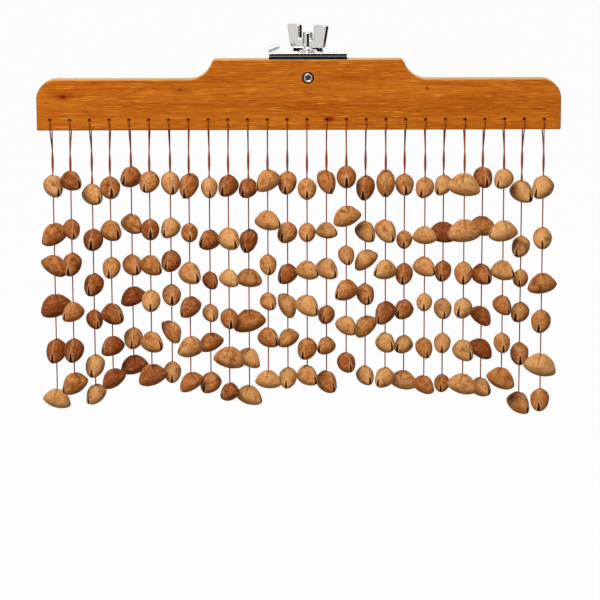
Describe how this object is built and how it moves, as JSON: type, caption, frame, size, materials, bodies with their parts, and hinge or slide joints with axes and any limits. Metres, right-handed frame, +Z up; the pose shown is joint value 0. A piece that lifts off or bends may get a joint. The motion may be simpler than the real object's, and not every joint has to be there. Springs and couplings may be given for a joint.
{
  "type": "shell wind chime",
  "caption": "Percussion chime of hollow nut shells strung on hanging cords under a shaped wooden mantle, held by a chrome bracket and a wing bolt.",
  "frame": {"origin": "middle of the flat back face of the bracket, where the chime is fastened to a stand", "axes": "+X along the mantle to the viewer's right, +Y to the back, out of the bracket's back face, +Z up"},
  "size_m": [0.5072, 0.0512, 0.3863],
  "materials": {
    "wood": "clear satin varnish over fine grain",
    "chrome": "polished chrome",
    "steel": "turned steel",
    "rubber": "matt black",
    "cord": "waxed twisted cord",
    "nutshell": "smooth dry nut shell, tan to red brown"
  },
  "bodies": {
    "mantle": {"mantle": "wood", "bracket": "chrome", "rubber_pad": "rubber", "washer": "chrome", "barrel_nut": "steel", "stop_pin": "chrome", "hanger_loop_01": "cord", "hanger_loop_02": "cord", "hanger_loop_03": "cord", "hanger_loop_04": "cord", "hanger_loop_05": "cord", "hanger_loop_06": "cord", "hanger_loop_07": "cord", "hanger_loop_08": "cord", "hanger_loop_09": "cord", "hanger_loop_10": "cord", "hanger_loop_11": "cord", "hanger_loop_12": "cord", "hanger_loop_13": "cord", "hanger_loop_14": "cord", "hanger_loop_15": "cord", "hanger_loop_16": "cord", "hanger_loop_17": "cord", "hanger_loop_18": "cord", "hanger_loop_19": "cord", "hanger_loop_20": "cord", "hanger_loop_21": "cord", "hanger_loop_22": "cord", "hanger_loop_23": "cord", "hanger_loop_24": "cord", "hanger_loop_25": "cord", "hanger_loop_26": "cord"},
    "wing_bolt": {"wing_bolt": "chrome"},
    "strand_01": {"shell_strand_01": "nutshell"},
    "strand_02": {"shell_strand_02": "nutshell"},
    "strand_03": {"shell_strand_03": "nutshell"},
    "strand_04": {"shell_strand_04": "nutshell"},
    "strand_05": {"shell_strand_05": "nutshell"},
    "strand_06": {"shell_strand_06": "nutshell"},
    "strand_07": {"shell_strand_07": "nutshell"},
    "strand_08": {"shell_strand_08": "nutshell"},
    "strand_09": {"shell_strand_09": "nutshell"},
    "strand_10": {"shell_strand_10": "nutshell"},
    "strand_11": {"shell_strand_11": "nutshell"},
    "strand_12": {"shell_strand_12": "nutshell"},
    "strand_13": {"shell_strand_13": "nutshell"},
    "strand_14": {"shell_strand_14": "nutshell"},
    "strand_15": {"shell_strand_15": "nutshell"},
    "strand_16": {"shell_strand_16": "nutshell"},
    "strand_17": {"shell_strand_17": "nutshell"},
    "strand_18": {"shell_strand_18": "nutshell"},
    "strand_19": {"shell_strand_19": "nutshell"},
    "strand_20": {"shell_strand_20": "nutshell"},
    "strand_21": {"shell_strand_21": "nutshell"},
    "strand_22": {"shell_strand_22": "nutshell"},
    "strand_23": {"shell_strand_23": "nutshell"},
    "strand_24": {"shell_strand_24": "nutshell"},
    "strand_25": {"shell_strand_25": "nutshell"},
    "strand_26": {"shell_strand_26": "nutshell"}
  },
  "joints": [
    {"name": "wing_bolt_turn", "type": "hinge", "parent": "mantle", "child": "wing_bolt", "pos_m": [0, -0.0128, 0.0198], "axis": [0, 0, 1], "continuous": true},
    {"name": "strand_01_swing", "type": "hinge", "parent": "mantle", "child": "strand_01", "pos_m": [-0.24882, -0.00315, -0.0768], "axis": [1, 0, 0], "range_deg": [0, 45]},
    {"name": "strand_02_swing", "type": "hinge", "parent": "mantle", "child": "strand_02", "pos_m": [-0.22978, -0.02245, -0.0768], "axis": [-1, 0, 0], "range_deg": [0, 45]},
    {"name": "strand_03_swing", "type": "hinge", "parent": "mantle", "child": "strand_03", "pos_m": [-0.21072, -0.00315, -0.0768], "axis": [1, 0, 0], "range_deg": [0, 45]},
    {"name": "strand_04_swing", "type": "hinge", "parent": "mantle", "child": "strand_04", "pos_m": [-0.19168, -0.02245, -0.0768], "axis": [-1, 0, 0], "range_deg": [0, 45]},
    {"name": "strand_05_swing", "type": "hinge", "parent": "mantle", "child": "strand_05", "pos_m": [-0.17263, -0.00315, -0.0768], "axis": [1, 0, 0], "range_deg": [0, 45]},
    {"name": "strand_06_swing", "type": "hinge", "parent": "mantle", "child": "strand_06", "pos_m": [-0.15357, -0.02245, -0.0768], "axis": [-1, 0, 0], "range_deg": [0, 45]},
    {"name": "strand_07_swing", "type": "hinge", "parent": "mantle", "child": "strand_07", "pos_m": [-0.13453, -0.00315, -0.0768], "axis": [1, 0, 0], "range_deg": [0, 45]},
    {"name": "strand_08_swing", "type": "hinge", "parent": "mantle", "child": "strand_08", "pos_m": [-0.11547, -0.02245, -0.0768], "axis": [-1, 0, 0], "range_deg": [0, 45]},
    {"name": "strand_09_swing", "type": "hinge", "parent": "mantle", "child": "strand_09", "pos_m": [-0.09642, -0.00315, -0.0768], "axis": [1, 0, 0], "range_deg": [0, 45]},
    {"name": "strand_10_swing", "type": "hinge", "parent": "mantle", "child": "strand_10", "pos_m": [-0.07737, -0.02245, -0.0768], "axis": [-1, 0, 0], "range_deg": [0, 45]},
    {"name": "strand_11_swing", "type": "hinge", "parent": "mantle", "child": "strand_11", "pos_m": [-0.05833, -0.00315, -0.0768], "axis": [1, 0, 0], "range_deg": [0, 45]},
    {"name": "strand_12_swing", "type": "hinge", "parent": "mantle", "child": "strand_12", "pos_m": [-0.03927, -0.02245, -0.0768], "axis": [-1, 0, 0], "range_deg": [0, 45]},
    {"name": "strand_13_swing", "type": "hinge", "parent": "mantle", "child": "strand_13", "pos_m": [-0.02022, -0.00315, -0.0768], "axis": [1, 0, 0], "range_deg": [0, 45]},
    {"name": "strand_14_swing", "type": "hinge", "parent": "mantle", "child": "strand_14", "pos_m": [-0.00118, -0.02245, -0.0768], "axis": [-1, 0, 0], "range_deg": [0, 45]},
    {"name": "strand_15_swing", "type": "hinge", "parent": "mantle", "child": "strand_15", "pos_m": [0.01787, -0.00315, -0.0768], "axis": [1, 0, 0], "range_deg": [0, 45]},
    {"name": "strand_16_swing", "type": "hinge", "parent": "mantle", "child": "strand_16", "pos_m": [0.03692, -0.02245, -0.0768], "axis": [-1, 0, 0], "range_deg": [0, 45]},
    {"name": "strand_17_swing", "type": "hinge", "parent": "mantle", "child": "strand_17", "pos_m": [0.05597, -0.00315, -0.0768], "axis": [1, 0, 0], "range_deg": [0, 45]},
    {"name": "strand_18_swing", "type": "hinge", "parent": "mantle", "child": "strand_18", "pos_m": [0.07502, -0.02245, -0.0768], "axis": [-1, 0, 0], "range_deg": [0, 45]},
    {"name": "strand_19_swing", "type": "hinge", "parent": "mantle", "child": "strand_19", "pos_m": [0.09408, -0.00315, -0.0768], "axis": [1, 0, 0], "range_deg": [0, 45]},
    {"name": "strand_20_swing", "type": "hinge", "parent": "mantle", "child": "strand_20", "pos_m": [0.11313, -0.02245, -0.0768], "axis": [-1, 0, 0], "range_deg": [0, 45]},
    {"name": "strand_21_swing", "type": "hinge", "parent": "mantle", "child": "strand_21", "pos_m": [0.13217, -0.00315, -0.0768], "axis": [1, 0, 0], "range_deg": [0, 45]},
    {"name": "strand_22_swing", "type": "hinge", "parent": "mantle", "child": "strand_22", "pos_m": [0.15122, -0.02245, -0.0768], "axis": [-1, 0, 0], "range_deg": [0, 45]},
    {"name": "strand_23_swing", "type": "hinge", "parent": "mantle", "child": "strand_23", "pos_m": [0.17028, -0.00315, -0.0768], "axis": [1, 0, 0], "range_deg": [0, 45]},
    {"name": "strand_24_swing", "type": "hinge", "parent": "mantle", "child": "strand_24", "pos_m": [0.18932, -0.02245, -0.0768], "axis": [-1, 0, 0], "range_deg": [0, 45]},
    {"name": "strand_25_swing", "type": "hinge", "parent": "mantle", "child": "strand_25", "pos_m": [0.20838, -0.00315, -0.0768], "axis": [1, 0, 0], "range_deg": [0, 45]},
    {"name": "strand_26_swing", "type": "hinge", "parent": "mantle", "child": "strand_26", "pos_m": [0.22742, -0.02245, -0.0768], "axis": [-1, 0, 0], "range_deg": [0, 45]}
  ]
}
